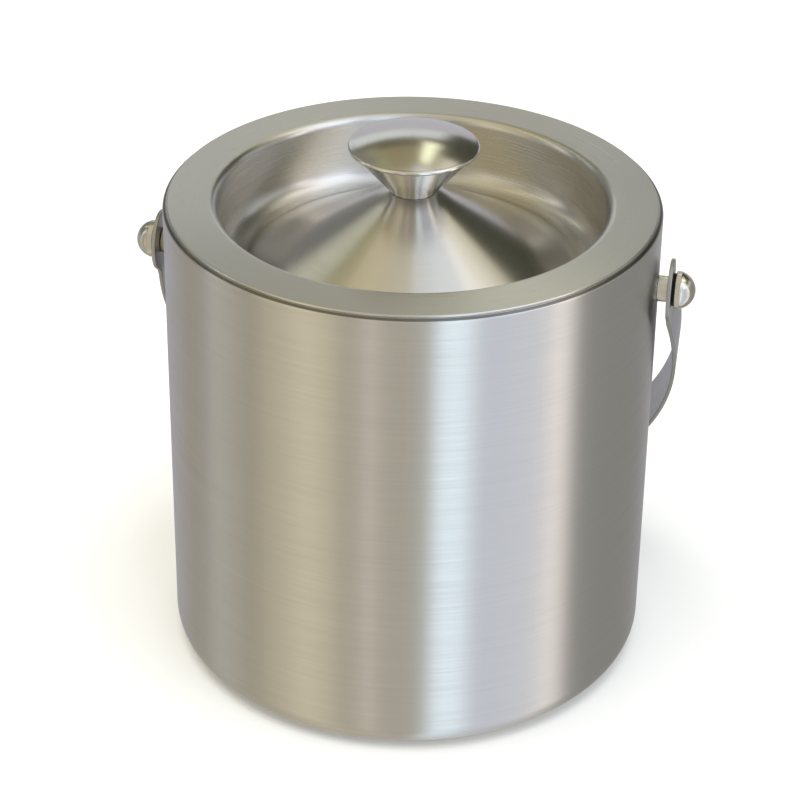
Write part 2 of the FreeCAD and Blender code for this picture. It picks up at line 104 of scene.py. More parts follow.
def add(tree: bpy.types.NodeTree, kind: str, inputs: dict[Union[str, int], Setting],
        **settings: Setting) -> bpy.types.Node:
    """Add one shader node.

    Args:
        tree: the node tree that gets it.
        kind: the node's type name.
        inputs: sockets by name or number, each with a value or another node's output.
        settings: the node's own properties.

    Returns:
        The node.
    """
    node = tree.nodes.new(kind)
    for name, value in settings.items():
        setattr(node, name, value)
    for name, value in inputs.items():
        if isinstance(value, bpy.types.NodeSocket):
            tree.links.new(value, node.inputs[name])
        else:
            node.inputs[name].default_value = value
    return node


class Outline:
    """A half section in the XZ plane, drawn by carrying one point along lines and arcs."""

    def __init__(self, radius: float, height: float) -> None:
        """Start the outline.

        Args:
            radius: the first point's distance from the axis.
            height: the first point's height.
        """
        self.mesh = bmesh.new()
        self.tip = self.mesh.verts.new((radius * MM, 0, height * MM))
        self.first = self.tip

    def line(self, radius: float, height: float, parts: int = 1) -> "Outline":
        """Draw a straight run.

        Args:
            radius: where it ends, from the axis.
            height: where it ends, upward.
            parts: how many edges it has.

        Returns:
            The outline, so that runs follow one another.
        """
        step = (Vector((radius * MM, 0, height * MM)) - self.tip.co) / parts
        for _ in range(parts):
            grown = bmesh.ops.extrude_vert_indiv(self.mesh, verts=[self.tip])
            self.tip = grown["verts"][0]
            bmesh.ops.translate(self.mesh, verts=[self.tip], vec=step)
        return self

    def arc(self, radius: float, height: float, degrees: float, parts: int = 8) -> "Outline":
        """Draw an arc about a centre.

        Args:
            radius: the centre's distance from the axis.
            height: the centre's height.
            degrees: how far it turns, positive anticlockwise with the axis on the left.
            parts: how many edges it has.

        Returns:
            The outline, so that runs follow one another.
        """
        swept = bmesh.ops.spin(
            self.mesh, geom=[self.tip], cent=(radius * MM, 0, height * MM), axis=(0, -1, 0),
            angle=math.radians(degrees), steps=parts)
        self.tip = next(v for v in swept["geom_last"] if isinstance(v, bmesh.types.BMVert))
        return self

    def close(self) -> "Outline":
        """Join the last point to the first."""
        bmesh.ops.contextual_create(self.mesh, geom=[self.tip, self.first])
        return self

    def turn(self, steps: int) -> bmesh.types.BMesh:
        """Turn the section round the axis.

        Args:
            steps: how many flats make the full circle.

        Returns:
            The closed shell.
        """
        bmesh.ops.spin(
            self.mesh, geom=self.mesh.verts[:] + self.mesh.edges[:], cent=(0, 0, 0), axis=(0, 0, 1),
            angle=math.tau, steps=steps, use_merge=True)
        bmesh.ops.remove_doubles(self.mesh, verts=self.mesh.verts, dist=MERGE)
        bmesh.ops.dissolve_degenerate(self.mesh, dist=MERGE, edges=self.mesh.edges)
        bmesh.ops.recalc_face_normals(self.mesh, faces=self.mesh.faces)
        return self.mesh


@dataclass(frozen=True)
class Thickness:
    """How an open sheet is thickened both ways from its middle, and its edges softened."""

    sheet: float
    edge: float
    segments: int = 3
    angle: float = 50.0

    def apply(self, piece: bpy.types.Object) -> None:
        """Add the modifiers that do it.

        Args:
            piece: the open sheet's object.
        """
        wall = piece.modifiers.new("sheet", "SOLIDIFY")
        wall.thickness = self.sheet * MM
        wall.offset = 0.0
        wall.use_even_offset = True
        edge = piece.modifiers.new("edge", "BEVEL")
        edge.width = self.edge * MM
        edge.segments = self.segments
        edge.limit_method = "ANGLE"
        edge.angle_limit = math.radians(self.angle)


def finish_piece(name: str, mesh: bmesh.types.BMesh, body: Body,
                 material: bpy.types.Material, nodes: tuple[str, ...],
                 thickness: Optional[Thickness] = None) -> bpy.types.Object:
    """Make an object of a finished mesh and tie it to the frame.

    Args:
        name: the piece's name.
        mesh: its mesh, in place.
        body: what it rides on.
        material: its finish.
        nodes: the frame's nodes that it stands for.
        thickness: how to thicken the mesh, if it is an open sheet.

    Returns:
        The object.
    """
    data = bpy.data.meshes.new(name)
    mesh.to_mesh(data)
    mesh.free()
    data.shade_smooth()
    data.set_sharp_from_angle(angle=math.radians(CREASE_DEGREES))
    piece = bpy.data.objects.new(name, data)
    bpy.context.scene.collection.objects.link(piece)
    data.materials.append(material)
    if thickness:
        thickness.apply(piece)
    weighted = piece.modifiers.new("weighted normals", "WEIGHTED_NORMAL")
    weighted.keep_sharp = True
    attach(piece, body.value)
    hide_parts(*nodes)
    LOG.info("%s: %d faces on %s", name, len(data.polygons), body.value)
    return piece


@dataclass(frozen=True)
class Brush:
    """Round scratches left by an abrasive belt on a turning piece."""

    width: float
    length: float
    shade: float
    depth: float
    detail: float = 3.0
    grain: float = 0.6


@dataclass(frozen=True)
class TurnedSteel:
    """Steel brushed or polished as it spins, so that highlights fan out across the scratches."""

    name: str
    colour: str
    roughness: float
    anisotropy: float
    brush: Brush
    radius: float
    roughness_spread: float = 0.05
    # the seam that is painted dark as shadow: its two heights and the radius that it lies outside;
    # the default is below the object
    residue: tuple[float, float, float] = (-2.0, -1.0, 0.0)

    def material(self) -> bpy.types.Material:
        """Build the finish.

        Returns:
            The material, whose scratches run round the piece's own Z axis. A painted shadow darkens
            a seam between two heights, outside a radius, where shade falls between two parts.
        """
        made = bpy.data.materials.new(self.name)
        made.use_nodes = True
        tree = made.node_tree
        shader = tree.nodes["Principled BSDF"]
        place = add(tree, "ShaderNodeTexCoord", {}).outputs["Object"]
        flat = add(tree, "ShaderNodeVectorMath", {0: place, 1: (1.0, 1.0, 0.0)},
                   operation="MULTIPLY")
        away = add(tree, "ShaderNodeVectorMath", {0: flat.outputs[0]}, operation="LENGTH")
        spoke = add(tree, "ShaderNodeVectorMath", {0: flat.outputs[0]}, operation="NORMALIZE")
        height = add(tree, "ShaderNodeSeparateXYZ", {0: place})
        # one turn of the noise's circle is the piece's girth over the scratch's length
        round_it = add(tree, "ShaderNodeVectorMath",
                       {0: spoke.outputs[0], "Scale": self.radius / self.brush.length},
                       operation="SCALE")
        fine = 1 / (self.brush.width * MM)
        across = add(tree, "ShaderNodeMath", {0: height.outputs["Z"], 1: fine},
                     operation="MULTIPLY")
        lifted = add(tree, "ShaderNodeCombineXYZ", {"Z": across.outputs[0]})
        where = add(tree, "ShaderNodeVectorMath", {0: round_it.outputs[0], 1: lifted.outputs[0]},
                    operation="ADD")
        outward = add(tree, "ShaderNodeMath", {0: away.outputs["Value"], 1: fine},
                      operation="MULTIPLY")
        scratches = add(tree, "ShaderNodeTexNoise",
                        {"Vector": where.outputs[0], "W": outward.outputs[0], "Scale": 1.0,
                         "Detail": self.brush.detail, "Roughness": self.brush.grain},
                        noise_dimensions="4D")
        tone = add(tree, "ShaderNodeMapRange",
                   {"Value": scratches.outputs[0], "From Min": NOISE_LOW, "From Max": NOISE_HIGH,
                    "To Min": 1 - self.brush.shade, "To Max": 1.0})
        # painted shade: the colour is darkened in the seam, where shadow falls between two parts
        low, high, beyond = self.residue
        seam = add(tree, "ShaderNodeMath",
                   {0: height.outputs["Z"], 1: (low + high) / 2 * MM, 2: (high - low) / 2 * MM},
                   operation="COMPARE")
        edge = add(tree, "ShaderNodeMath", {0: away.outputs["Value"], 1: beyond * MM},
                   operation="GREATER_THAN")
        seam_shadow = add(tree, "ShaderNodeMath", {0: seam.outputs[0], 1: edge.outputs[0]},
                   operation="MULTIPLY")
        unshadowed = add(tree, "ShaderNodeMapRange",
                    {"Value": seam_shadow.outputs[0], "To Min": 1.0, "To Max": SEAM_SHADOW_DARKNESS})
        shade = add(tree, "ShaderNodeMath", {0: tone.outputs[0], 1: unshadowed.outputs[0]},
                    operation="MULTIPLY")
        colour = add(tree, "ShaderNodeVectorMath",
                     {0: linear(self.colour)[:3], "Scale": shade.outputs[0]}, operation="SCALE")
        rough = add(tree, "ShaderNodeMapRange",
                    {"Value": scratches.outputs[0], "From Min": NOISE_LOW, "From Max": NOISE_HIGH,
                     "To Min": self.roughness + self.roughness_spread,
                     "To Max": self.roughness - self.roughness_spread})
        bump = add(tree, "ShaderNodeBump",
                   {"Height": scratches.outputs[0], "Strength": 1.0,
                    "Distance": self.brush.depth * MM})
        along = add(tree, "ShaderNodeVectorMath", {0: (0.0, 0.0, 1.0), 1: spoke.outputs[0]},
                    operation="CROSS_PRODUCT")
        tangent = add(tree, "ShaderNodeVectorTransform", {0: along.outputs[0]},
                      vector_type="VECTOR", convert_from="OBJECT", convert_to="WORLD")
        shader.inputs["Metallic"].default_value = 1.0
        shader.inputs["Anisotropic"].default_value = self.anisotropy
        shader.inputs["Anisotropic Rotation"].default_value = ACROSS_SCRATCHES
        tree.links.new(colour.outputs[0], shader.inputs["Base Color"])
        tree.links.new(rough.outputs[0], shader.inputs["Roughness"])
        tree.links.new(bump.outputs[0], shader.inputs["Normal"])
        tree.links.new(tangent.outputs[0], shader.inputs["Tangent"])
        return made


@dataclass(frozen=True)
class PlainMetal:
    """Small metal part with a fine even finish and a little unevenness in its gloss."""

    name: str
    colour: str
    roughness: float
    patch: float = 3.0
    unevenness: float = 0.04
    detail: float = 4.0

    def material(self) -> bpy.types.Material:
        """Build the finish.

        Returns:
            The material.
        """
        made = bpy.data.materials.new(self.name)
        made.use_nodes = True
        tree = made.node_tree
        shader = tree.nodes["Principled BSDF"]
        place = add(tree, "ShaderNodeTexCoord", {}).outputs["Object"]
        cloud = add(tree, "ShaderNodeTexNoise",
                    {"Vector": place, "Scale": 1 / (self.patch * MM), "Detail": self.detail})
        tone = add(tree, "ShaderNodeMapRange",
                   {"Value": cloud.outputs[0], "From Min": NOISE_LOW, "From Max": NOISE_HIGH,
                    "To Min": PATCH_SHADE, "To Max": 1.0})
        colour = add(tree, "ShaderNodeVectorMath",
                     {0: linear(self.colour)[:3], "Scale": tone.outputs[0]}, operation="SCALE")
        rough = add(tree, "ShaderNodeMapRange",
                    {"Value": cloud.outputs[0], "From Min": NOISE_LOW, "From Max": NOISE_HIGH,
                     "To Min": self.roughness + self.unevenness, "To Max": self.roughness})
        shader.inputs["Metallic"].default_value = 1.0
        tree.links.new(colour.outputs[0], shader.inputs["Base Color"])
        tree.links.new(rough.outputs[0], shader.inputs["Roughness"])
        return made


# Drawn stainless sheet, belt-brushed round the body: soft upright bands of light, fine level lines.
# Real 180-grit lines are about 0.05 mm wide, too fine to show, so they are drawn 0.4 mm wide.
# Its rounded top corner, just under the lid's edge, is painted dark as the shadow in the gap.
BRUSHED_WALL = TurnedSteel("brushed stainless wall", "#d2cfc9", 0.35, 0.96,
                           Brush(0.4, 40.0, 0.05, 0.0015), 95.0, 0.05, (189.4, 190.05, 93.8))
# Drawn stainless sheet as it left the spinning lathe: a satin bore, seen when the lid is off.
SATIN_LINER = TurnedSteel("satin stainless liner", "#cac8c3", 0.36, 0.7,
                          Brush(0.6, 40.0, 0.05, 0.002), 76.0)
# Pressed stainless sheet, bead-dulled on its flat rim: an even satin.
SATIN_RIM = TurnedSteel("satin stainless lid rim", "#d2cfc9", 0.3, 0.65,
                        Brush(0.5, 40.0, 0.03, 0.0006), 85.0, 0.03)
# The same sheet turned on a lathe: the cone throws light out in sharp wedges.
TURNED_CONE = TurnedSteel("turned stainless cone", "#d2cfc9", 0.24, 0.75,
                          Brush(0.4, 60.0, 0.04, 0.0003), 45.0, 0.02)
# The recess wall keeps deeper turning marks, so its reflections run up it in stripes.
RECESS_WALL = TurnedSteel("turned stainless recess wall", "#d2cfc9", 0.29, 0.88,
                          Brush(0.4, 60.0, 0.05, 0.0004), 74.0, 0.03)
# Stainless knob, buffed after turning: clear soft-edged reflections.
# A thin band at the foot of its flank is painted dark as the shade where the knob meets the lid.
BUFFED_KNOB = TurnedSteel("buffed stainless knob", "#d8d5cf", 0.17, 0.4,
                          Brush(0.4, 12.0, 0.03, 0.0004), 24.0, 0.02, (193.9, 194.3, 5.0))
# Nickel plate on turned brass: bright, soft-edged reflections, a little yellow.
NICKEL = PlainMetal("bright nickel plate", "#cfcbc0", 0.2, 2.0, 0.05)
# Cold-rolled stainless strap with a satin face.
STRAP = PlainMetal("satin stainless strap", "#adaca9", 0.34, 6.0, 0.05)
# Steel washer under each nut, painted near black as the shade in the gap behind the nut: a thin
# dark ring.
SHADE_DARK_WASHER = PlainMetal("steel washer painted shade-dark", "#2d2924", 0.42, 2.0, 0.06)
# Machined steel plug inside the knob.
TURNED_PLUG = PlainMetal("turned steel plug", "#9c9a96", 0.33)
# Bright zinc plate on the hidden fasteners.
ZINC = PlainMetal("zinc-plated steel", "#b9bcc0", 0.28)


@dataclass
class Bucket:
    """The two walls."""

    sheet: float = 0.8
    gap: float = 19.2
    base_corner: float = 10.7
    rim_corner: float = 1.6
    lip_width: float = 9.4
    bead_radius: float = 70.0
    bead_width: float = 12.0
    bead_height: float = 1.2
    bead_slope: float = 1.5
    liner_corner: float = 12.0
    mouth_corner: float = 2.0
    steps: int = 256
    radius: float = field(init=False)
    rim: float = field(init=False)
    liner_radius: float = field(init=False)
    liner_floor: float = field(init=False)
    flange_radius: float = field(init=False)

    def __post_init__(self) -> None:
        """Take the main sizes from the frame."""
        shell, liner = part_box("outer_shell"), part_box("inner_liner")
        self.radius = shell[1].x / MM
        self.rim = shell[1].z / MM
        self.flange_radius = liner[1].x / MM
        self.liner_floor = liner[0].z / MM + self.sheet
        self.liner_radius = self.radius - self.gap

    def shell(self) -> bmesh.types.BMesh:
        """Draw the outer wall: a pressed ring in its base and its top edge turned inward.

        Returns:
            The closed shell.
        """
        start = self.radius - self.base_corner
        bead_in = self.bead_radius - self.bead_width / 2
        bead_out = self.bead_radius + self.bead_width / 2
        wall_top = self.rim - self.rim_corner
        inside = self.radius - self.sheet
        outline = Outline(0, 0).line(bead_in, 0).line(bead_in + self.bead_slope, self.bead_height)
        outline.line(bead_out - self.bead_slope, self.bead_height).line(bead_out, 0).line(start, 0)
        outline.arc(start, self.base_corner, 90, parts=14).line(self.radius, wall_top, parts=12)
        outline.arc(self.radius - self.rim_corner, wall_top, 90, parts=8)
        outline.line(self.radius - self.rim_corner - self.lip_width, self.rim)
        outline.line(self.radius - self.rim_corner - self.lip_width, self.rim - self.sheet)
        outline.line(self.radius - self.rim_corner, self.rim - self.sheet)
        outline.arc(self.radius - self.rim_corner, wall_top, -90, parts=6)
        outline.line(inside, self.base_corner, parts=4).arc(start, self.base_corner, -90, parts=10)
        outline.line(bead_out, self.sheet)
        outline.line(bead_out - self.bead_slope, self.bead_height + self.sheet)
        outline.line(bead_in + self.bead_slope, self.bead_height + self.sheet)
        outline.line(bead_in, self.sheet).line(0, self.sheet)
        return outline.turn(self.steps)

    def liner(self) -> bmesh.types.BMesh:
        """Draw the inner cup, whose flange lies under the shell's turned lip.

        Returns:
            The closed shell.
        """
        outside = self.liner_radius + self.sheet
        top = self.rim - self.sheet
        under = self.liner_floor - self.sheet
        bend = self.liner_radius + self.mouth_corner
        centre = self.liner_radius - self.liner_corner
        low = self.liner_floor + self.liner_corner
        outline = Outline(0, under).line(centre, under).arc(centre, low, 90, parts=12)
        outline.line(outside, top - self.mouth_corner, parts=4)
        outline.arc(bend, top - self.mouth_corner, -90, parts=6)
        outline.line(self.flange_radius, top - self.sheet)
        outline.line(self.flange_radius, top).line(bend, top)
        outline.arc(bend, top - self.mouth_corner, 90, parts=8)
        outline.line(self.liner_radius, low, parts=8).arc(centre, low, -90, parts=14)
        outline.line(0, self.liner_floor)
        return outline.turn(self.steps)

    def build(self) -> None:
        """Make both walls and dress them."""
        finish_piece("shell", self.shell(), Body.BUCKET, BRUSHED_WALL.material(),
                     ("outer_shell",))
        finish_piece("liner", self.liner(), Body.BUCKET, SATIN_LINER.material(),
                     ("inner_liner",))


@dataclass
class Lid:
    """The pressed lid and its knob."""

    sheet: float = 0.8
    edge_round: float = 0.5
    bend: float = 3.0
    recess_radius: float = 74.4
    # the rim's finish ends at the first radius and the recess wall's at the second
    finish_radii: tuple[float, float] = (76.0, 69.0)
    recess_depth: float = 27.5
    fillet: float = 7.5
    crown_rise: float = 3.0
    crown_radius: float = 9.6
    hole_radius: float = 2.2
    neck_radius: float = 8.8
    neck_round: float = 0.4
    flank_wall: float = 1.12
    rim_round: float = 0.9
    skirt: float = 1.4
    knob_sheet: float = 0.6
    crimps: int = 34
    crimp_depth: float = 0.13
    # a second, slower wave makes the crimps uneven
    second_share: float = 0.6
    second_pitch: float = 0.618
    second_phase: float = 1.0
    steps: int = 256
    knob_steps: int = 192
    radius: float = field(init=False)
    top: float = field(init=False)

    def __post_init__(self) -> None:
        """Take the main sizes from the frame."""
        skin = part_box("lid_skin")
        self.radius = skin[1].x / MM
        self.top = skin[1].z / MM - self.crown_rise

    def skin(self) -> bmesh.types.BMesh:
        """Draw the sheet: flat flange, straight recess wall, rounded foot and a cone to the knob.

        Returns:
            The closed shell, its faces numbered by finish from the rim inward.
        """
        centre_r = self.recess_radius - self.fillet
        centre_z = self.top - self.recess_depth + self.fillet
        crown = self.top + self.crown_rise
        run, drop = centre_r - self.crown_radius, crown - centre_z
        slope = math.atan(drop / run) + math.asin(self.fillet / math.hypot(run, drop))
        foot_r = centre_r - self.fillet * math.sin(slope)
        foot_z = centre_z - self.fillet * math.cos(slope)
        under_r = self.crown_radius - self.sheet * math.tan(slope / 2)
        wall = self.recess_radius
        bend_z = self.top - self.bend
        sweep = 90 + math.degrees(slope)
        outline = Outline(self.hole_radius, crown).line(self.crown_radius, crown)
        outline.line(foot_r, foot_z, parts=10).arc(centre_r, centre_z, sweep, parts=24)
        outline.line(wall, bend_z, parts=4).arc(wall + self.bend, bend_z, -90, parts=12)
        outline.line(self.radius - self.edge_round, self.top, parts=4)
        outline.arc(self.radius - self.edge_round, self.top - self.edge_round, -90, parts=6)
        outline.line(self.radius, self.top - self.sheet)
        outline.line(wall + self.bend, self.top - self.sheet)
        outline.arc(wall + self.bend, bend_z, 90, parts=8).line(wall + self.sheet, centre_z)
        outline.arc(centre_r, centre_z, -sweep, parts=20).line(under_r, crown - self.sheet)
        outline.line(self.hole_radius, crown - self.sheet).close()
        mesh = outline.turn(self.steps)
        for face in mesh.faces:
            middle = face.calc_center_median()
            away = math.hypot(middle.x, middle.y) / MM
            face.material_index = sum(away < radius for radius in self.finish_radii)
        return mesh

    def cone(self) -> bmesh.types.BMesh:
        """Draw the knob's hollow flared body.

        Returns:
            The closed shell.
        """
        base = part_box("knob_cone")[0].z / MM
        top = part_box("knob_cone")[1].z / MM
        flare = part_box("knob_cone")[1].x / MM
        outline = Outline(self.hole_radius, base).line(self.neck_radius - self.neck_round, base)
        outline.arc(self.neck_radius - self.neck_round, base + self.neck_round, 90, parts=6)
        outline.line(flare, top, parts=8).line(flare - self.flank_wall, top)
        outline.line(self.neck_radius - self.flank_wall, base + self.knob_sheet)
        outline.line(self.hole_radius, base + self.knob_sheet).close()
        return outline.turn(self.knob_steps)

    def cap(self) -> bmesh.types.BMesh:
        """Draw the shallow domed cap, its skirt pressed over the flare in small uneven crimps.

        Returns:
            The closed shell.
        """
        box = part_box("knob_cap")
        radius, base, top = box[1].x / MM, box[0].z / MM, box[1].z / MM
        inside = radius - self.knob_sheet
        edge = radius - self.rim_round
        shoulder = base + self.skirt
        rise = top - shoulder
        dome = (edge ** 2 + rise ** 2) / (2 * rise)
        sweep = math.degrees(math.asin(edge / dome))
        lip = self.knob_sheet / 2
        outline = Outline(inside, base + lip).arc(radius - lip, base + lip, 180, parts=8)
        outline.line(radius, shoulder - self.rim_round, parts=2)
        outline.arc(edge, shoulder - self.rim_round, 90, parts=8)
        outline.arc(0, top - dome, sweep, parts=24).line(0, top - self.knob_sheet)
        outline.line(inside, shoulder - self.knob_sheet, parts=12).close()
        mesh = outline.turn(self.knob_steps)
        for vert in mesh.verts:
            away = math.hypot(vert.co.x, vert.co.y)
            if away > inside * MM and vert.co.z < (shoulder - self.rim_round) * MM:
                turn = math.atan2(vert.co.y, vert.co.x)
                second = math.sin(self.second_pitch * self.crimps * turn + self.second_phase)
                wave = math.sin(self.crimps * turn) + self.second_share * second
                vert.co.z += self.crimp_depth * wave * MM
        return mesh

    def build(self) -> None:
        """Make the lid sheet and the knob's two shells and dress them."""
        sheet = finish_piece("lid_sheet", self.skin(), Body.LID, SATIN_RIM.material(),
                             ("lid_skin",))
        for finish in (RECESS_WALL, TURNED_CONE):
            sheet.data.materials.append(finish.material())
        knob = BUFFED_KNOB.material()
        finish_piece("knob_flank", self.cone(), Body.LID, knob, ("knob_cone",))
        finish_piece("knob_dome", self.cap(), Body.LID, knob, ("knob_cap",))


@dataclass
class Pivot:
    """One end of the bail's axle: collar, dark washer and domed nut."""

    side: Side
    bore: float = 2.6
    edge: float = 0.35
    barrel: float = 2.0
    groove: float = 0.12
    washer_edge: float = 0.2
    thread_depth: float = 4.4
    steps: int = 96

    def extent(self, part: str) -> tuple[float, float, float]:
        """Read a part's place on the axle.

        Args:
            part: the node's name without its side.

        Returns:
            Its inner end, its outer end and its radius, from the bucket's axis.
        """
        low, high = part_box(f"{self.side.label}_{part}")
        ends = sorted((abs(low.x), abs(high.x)))
        return ends[0] / MM, ends[1] / MM, high.y / MM

    def stand(self, mesh: bmesh.types.BMesh) -> bmesh.types.BMesh:
        """Lay a mesh that was turned round Z along the pivot axis, its own +Z outward.

        Args:
            mesh: the mesh to move.

        Returns:
            The same mesh, in place.
        """
        low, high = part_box(f"{self.side.label}_dome_nut")
        turn = Matrix.Rotation(math.radians(90 * self.side.value), 3, "Y")
        bmesh.ops.rotate(mesh, verts=mesh.verts, cent=(0, 0, 0), matrix=turn)
        bmesh.ops.translate(mesh, verts=mesh.verts, vec=(0, 0, (low.z + high.z) / 2))
        return mesh

    def ring(self, part: str, edge: float) -> bmesh.types.BMesh:
        """Draw a collar or washer.

        Args:
            part: the node's name without its side.
            edge: the rounding of its outer edges.

        Returns:
            The closed ring, in place.
        """
        inner, outer, radius = self.extent(part)
        outline = Outline(self.bore, inner).line(radius - edge, inner)
        outline.arc(radius - edge, inner + edge, 90, parts=4)
        outline.line(radius, outer - edge).arc(radius - edge, outer - edge, 90, parts=4)
        outline.line(self.bore, outer).close()
        return self.stand(outline.turn(self.steps))

    def nut(self) -> bmesh.types.BMesh:
        """Draw the domed nut: short barrel, hairline groove and a round dome.

        Returns:
            The closed nut, in place.
        """
        inner, outer, radius = self.extent("dome_nut")
        shoulder = inner + self.barrel
        foot = radius - self.groove
        rise = outer - shoulder - self.groove
        dome = (foot ** 2 + rise ** 2) / (2 * rise)
        centre = outer - dome
        sweep = math.degrees(math.atan2(outer - rise - centre, foot))
        outline = Outline(self.bore, inner).line(radius - self.edge, inner)
        outline.arc(radius - self.edge, inner + self.edge, 90, parts=4)
        outline.line(radius, shoulder).line(foot, shoulder + self.groove)
        outline.arc(0, centre, 90 - sweep, parts=24)
        outline.line(0, inner + self.thread_depth)
        outline.line(self.bore, inner + self.thread_depth).close()
        return self.stand(outline.turn(self.steps))

    def build(self, nickel: bpy.types.Material, dark: bpy.types.Material) -> None:
        """Make the three pieces of this end.

        Args:
            nickel: the collar's and nut's finish.
            dark: the washer's finish, a near-black colour painted as shade.
        """
        name = self.side.label
        finish_piece(f"{name}_collar", self.ring("pivot_spacer", self.edge), Body.BUCKET,
                     nickel, (f"{name}_pivot_spacer",))
        finish_piece(f"{name}_dark_washer", self.ring("strap_washer", self.washer_edge),
                     Body.BUCKET, dark, (f"{name}_strap_washer",))
        finish_piece(f"{name}_domed_nut", self.nut(), Body.BUCKET, nickel,
                     (f"{name}_dome_nut",))


@dataclass
class Bail:
    """The bent strap that carries the bucket.

    The reach is from the pivots to the middle of the crown, and the lean is how far below level the
    strap hangs at rest.
    """

    sheet: float = 1.5
    width: float = 20.5
    eye_radius: float = 11.8
    hole_radius: float = 2.6
    eye_flat: float = 6.8
    bow: float = 2.35
    bend: float = 40.0
    middle: float = 99.85
    reach: float = 181.3
    lean: float = 55.0
    eye_steps: int = 72
    neck_steps: int = 24
    arc_steps: tuple[int, int, int] = (8, 28, 40)
    edge: float = 0.3

    def strap(self) -> bmesh.types.BMesh:
        """Bend the middle face of the strap: a round eye, then flat, bend, bowed side and crown.

        Returns:
            The open sheet, in place at rest, for Solidify to thicken.
        """
        mesh = bmesh.new()
        half = self.width / 2
        neck = math.sqrt(self.eye_radius ** 2 - half ** 2)
        start = mesh.verts.new((self.middle * MM, neck * MM, -half * MM))
        open_angle = 2 * math.asin(half / self.eye_radius)
        swept = bmesh.ops.spin(mesh, geom=[start], cent=(self.middle * MM, 0, 0), axis=(-1, 0, 0),
                               angle=math.tau - open_angle, steps=self.eye_steps - self.neck_steps)
        end = next(v for v in swept["geom_last"] if isinstance(v, bmesh.types.BMVert))
        chord = bmesh.ops.contextual_create(mesh, geom=[start, end])["edges"]
        bmesh.ops.subdivide_edges(mesh, edges=chord, cuts=self.neck_steps - 1)
        neck_edges = [e for e in mesh.edges
                      if all(abs(v.co.y - neck * MM) < MERGE for v in e.verts)]
        outer = mesh.edges[:]
        around = Matrix.Translation((self.middle * MM, 0, 0)) @ Matrix.Rotation(math.pi / 2, 4, "Y")
        hole = bmesh.ops.create_circle(mesh, segments=self.eye_steps, radius=self.hole_radius * MM,
                                       matrix=around)
        inner = list({e for v in hole["verts"] for e in v.link_edges})
        bmesh.ops.bridge_loops(mesh, edges=outer + inner)
        grown = bmesh.ops.extrude_edge_only(mesh, edges=neck_edges)["geom"]
        verts = [v for v in grown if isinstance(v, bmesh.types.BMVert)]
        bmesh.ops.translate(mesh, verts=verts, vec=(0, (self.eye_flat - neck) * MM, 0))
        for centre, angle, steps in self.bends():
            edges = [e for e in grown if isinstance(e, bmesh.types.BMEdge)]
            tips = [v for v in grown if isinstance(v, bmesh.types.BMVert)]
            grown = bmesh.ops.spin(
                mesh, geom=tips + edges, cent=(centre[0] * MM, centre[1] * MM, 0), axis=(0, 0, 1),
                angle=angle, steps=steps)["geom_last"]
        bmesh.ops.mirror(mesh, geom=mesh.verts[:] + mesh.edges[:] + mesh.faces[:], axis="X",
                         merge_dist=MERGE * 10)
        bmesh.ops.remove_doubles(mesh, verts=mesh.verts, dist=MERGE * 10)
        bmesh.ops.recalc_face_normals(mesh, faces=mesh.faces)
        turn = Matrix.Rotation(-math.radians(self.lean), 3, "X")
        bmesh.ops.rotate(mesh, verts=mesh.verts, cent=(0, 0, 0), matrix=turn)
        low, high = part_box("right_dome_nut")
        bmesh.ops.translate(mesh, verts=mesh.verts, vec=(0, 0, (low.z + high.z) / 2))
        return mesh

    def bends(self) -> list[tuple[tuple[float, float], float, int]]:
        """Work out the strap's three arcs from the eye to the middle of the crown.

        Returns:
            Each arc's centre, its turn in radians and its number of edges.
        """
        half = self.middle + self.bow
        side = 2 * half
        reverse = side + self.bend
        widest = self.eye_flat + math.sqrt(reverse ** 2 - (reverse - self.bow) ** 2)
        climb = self.reach - widest
        crown = (side ** 2 - (side - half) ** 2 - climb ** 2) / (2 * (side - climb))
        crown_centre = (0.0, self.reach - crown)
        side_centre = (half - side, widest)
        swing = math.asin((widest - self.eye_flat) / reverse)
        join = math.atan2(crown_centre[1] - side_centre[1], crown_centre[0] - side_centre[0])
        first, second, third = self.arc_steps
        return [((self.middle + self.bend, self.eye_flat), -swing, first),
                (side_centre, swing + join, second),
                (crown_centre, math.pi / 2 - join, third)]

    def build(self) -> None:
        """Make the strap and dress it."""
        finish_piece("strap", self.strap(), Body.BAIL, STRAP.material(),
                     ("bail_strap",), Thickness(self.sheet, self.edge))


@dataclass
class HiddenParts:
    """The frame's own nodes that stay as they are and only get a finish."""

    zinc: tuple[str, ...] = ("knob_screw", "knob_washer", "right_pivot_bolt", "left_pivot_bolt",
                             "right_lock_washer", "left_lock_washer", "right_backing_plate",
                             "left_backing_plate")
    plug: tuple[str, ...] = ("knob_insert",)

    def build(self) -> None:
        """Dress the fasteners and the plug."""
        for finish, names in ((ZINC, self.zinc), (TURNED_PLUG, self.plug)):
            material = finish.material()
            for name in names:
                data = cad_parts[name].data
                data.materials.clear()
                data.materials.append(material)
                LOG.info("%s: %s", name, finish.name)


@dataclass(frozen=True)
class Panel:
    """One soft panel or dark flag, as the bucket sees it, measured in degrees from the front."""

    azimuth: float
    width: float
    low: float
    high: float
    colour: str
    strength: float
    soft: float = 8.0


